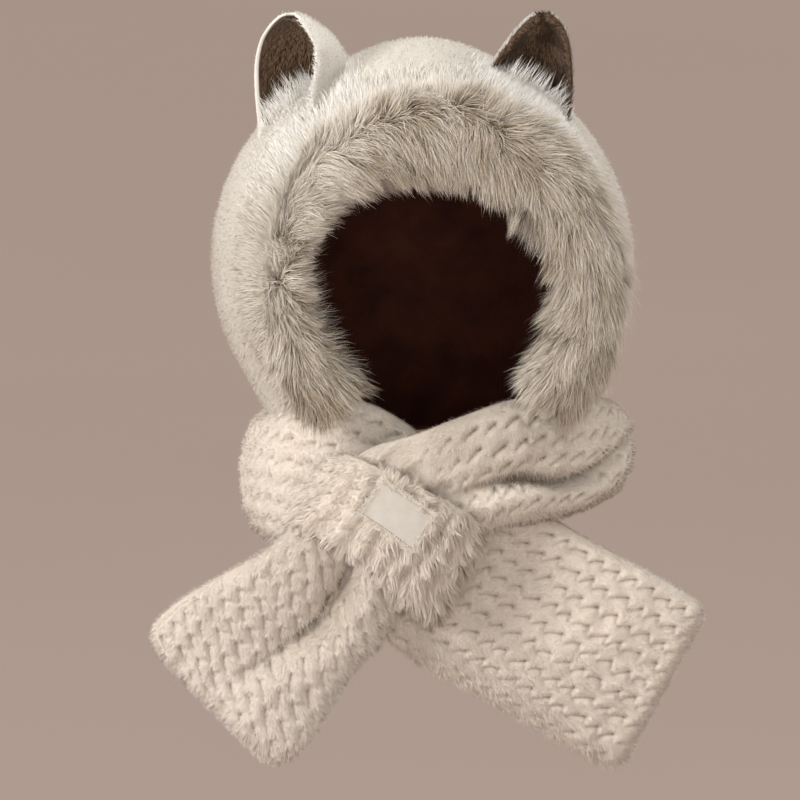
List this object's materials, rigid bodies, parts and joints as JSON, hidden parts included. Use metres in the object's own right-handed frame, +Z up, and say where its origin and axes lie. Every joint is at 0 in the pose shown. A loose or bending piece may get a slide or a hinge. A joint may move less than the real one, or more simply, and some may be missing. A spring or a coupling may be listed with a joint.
{
  "type": "cat-ear hooded scarf",
  "caption": "Plush hood with cat ears and a fur trim round the face, sewn in one with a thick basket-weave scarf that wraps the neck and pulls through a loop.",
  "frame": {"origin": "inner crown of the hood, where it rests on the head, at the mount crown_seat", "axes": "+Z up along the head and the longest extent, -Y out through the face opening, +X to the right of someone facing the opening"},
  "size_m": [0.3902, 0.2989, 0.5275],
  "materials": {
    "hood": "short near-white plush",
    "hood_lining": "dark brown short-pile lining",
    "fur_trim": "long cream and grey-brown faux fur",
    "ear_left": "short near-white plush",
    "ear_left_inner": "short brown faux fur",
    "ear_left_tuft": "long white faux fur",
    "ear_right": "short near-white plush",
    "ear_right_inner": "short brown faux fur",
    "ear_right_tuft": "long white faux fur",
    "scarf_wrap": "basket-weave cream plush",
    "scarf_end_left": "basket-weave cream plush",
    "scarf_end_right": "basket-weave cream plush",
    "scarf_loop": "cream plush",
    "label": "off-white woven tape"
  },
  "bodies": {
    "root": {"hood": "hood", "hood_lining": "hood_lining", "fur_trim": "fur_trim", "ear_left": "ear_left", "ear_left_inner": "ear_left_inner", "ear_left_tuft": "ear_left_tuft", "ear_right": "ear_right", "ear_right_inner": "ear_right_inner", "ear_right_tuft": "ear_right_tuft", "scarf_wrap": "scarf_wrap", "scarf_end_left": "scarf_end_left", "scarf_end_right": "scarf_end_right", "scarf_loop": "scarf_loop", "label": "label"}
  },
  "joints": []
}
